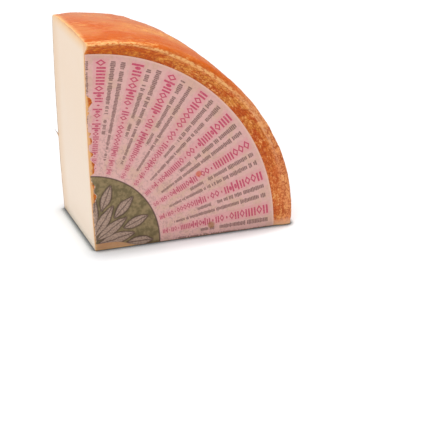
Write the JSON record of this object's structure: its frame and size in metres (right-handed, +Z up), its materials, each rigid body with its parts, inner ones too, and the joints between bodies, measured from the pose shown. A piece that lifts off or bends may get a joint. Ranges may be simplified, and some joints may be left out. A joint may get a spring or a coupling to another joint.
{
  "type": "quarter wheel of hard mountain cheese",
  "caption": "Quarter of a wheel of hard mountain cheese with an orange rind, standing on a cut face, with a round paper label on its flat side.",
  "frame": {"origin": "middle of the cut face that the cheese rests on, on the surface that it stands on", "axes": "+Z up, +Y along the wheel's own axis away from the label, +X from the upright cut face towards the rim"},
  "size_m": [0.1488, 0.0957, 0.151],
  "materials": {
    "rind_and_paste": "granular washed orange rind, smooth pale ivory paste where it is cut",
    "label_paper": "thin pink printed paper, stuck down, torn along one cut"
  },
  "bodies": {
    "root": {"cheese": "rind_and_paste", "paper_label": "label_paper"}
  },
  "joints": []
}
